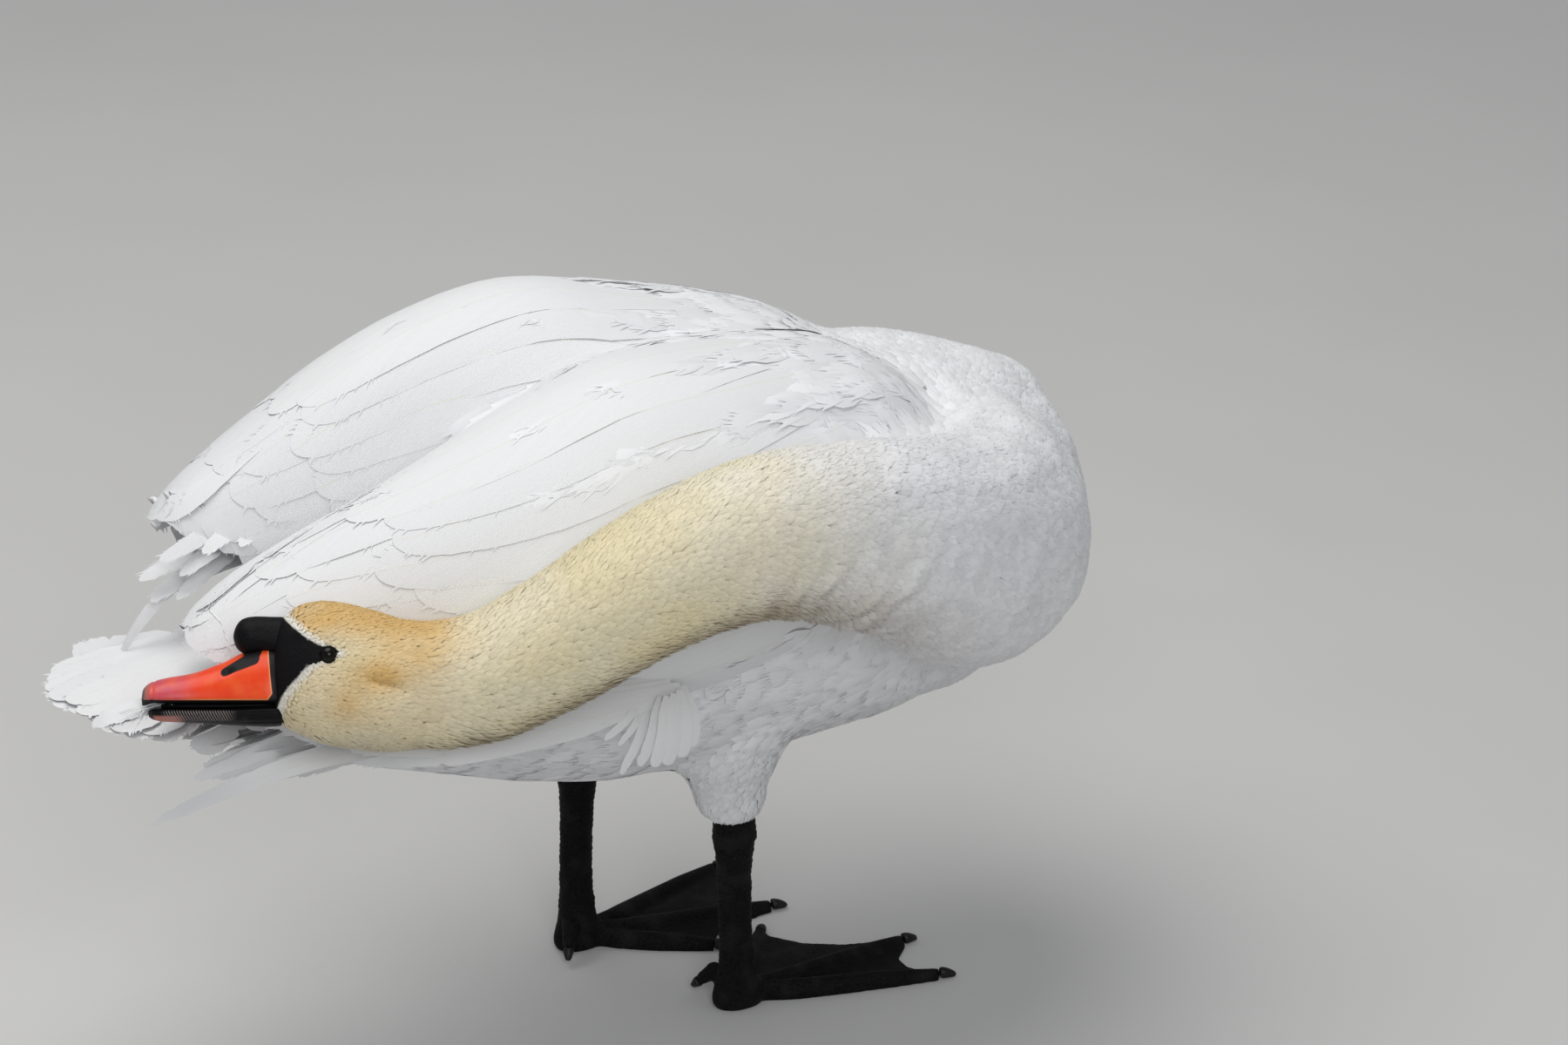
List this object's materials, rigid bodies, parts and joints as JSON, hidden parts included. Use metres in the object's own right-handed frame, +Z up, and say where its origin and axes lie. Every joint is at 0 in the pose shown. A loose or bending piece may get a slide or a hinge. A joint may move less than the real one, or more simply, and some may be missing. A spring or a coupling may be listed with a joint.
{
  "type": "mute swan",
  "caption": "Life-size still model of a mute swan, standing and preening with its neck turned back along its right side.",
  "frame": {"origin": "centre of the bounding box's base, on the floor that the feet stand on", "axes": "+X the way the body faces, from tail to breast; +Y the swan's left; +Z up from the floor"},
  "size_m": [0.7878, 0.4662, 0.5326],
  "materials": {
    "body_plumage": "matte",
    "neck_plumage": "matte",
    "vane_plumage": "matte",
    "flight_feather": "matte",
    "bill_orange": "satin",
    "bill_black": "satin",
    "leg_skin": "satin",
    "claw": "satin",
    "eye": "gloss"
  },
  "bodies": {
    "root": {"trunk": "body_plumage", "neck_base": "neck_plumage", "neck_middle": "neck_plumage", "neck_upper": "neck_plumage", "head": "neck_plumage", "eye_right": "eye", "eye_left": "eye", "bill_upper": "bill_orange", "bill_nail": "bill_black", "bill_lower": "bill_black", "bill_knob": "bill_black", "tail_base": "vane_plumage", "tail": "flight_feather", "wing_right_coverts": "vane_plumage", "wing_right_tertials": "vane_plumage", "wing_right_primaries": "flight_feather", "wing_right_alula": "flight_feather", "wing_left_coverts": "vane_plumage", "wing_left_tertials": "vane_plumage", "wing_left_primaries": "flight_feather", "wing_left_alula": "flight_feather", "thigh_right": "body_plumage", "shank_right": "leg_skin", "foot_right": "leg_skin", "hind_toe_right": "leg_skin", "claw_right_inner": "claw", "claw_right_middle": "claw", "claw_right_outer": "claw", "claw_right_hind": "claw", "thigh_left": "body_plumage", "shank_left": "leg_skin", "foot_left": "leg_skin", "hind_toe_left": "leg_skin", "claw_left_inner": "claw", "claw_left_middle": "claw", "claw_left_outer": "claw", "claw_left_hind": "claw"}
  },
  "joints": []
}
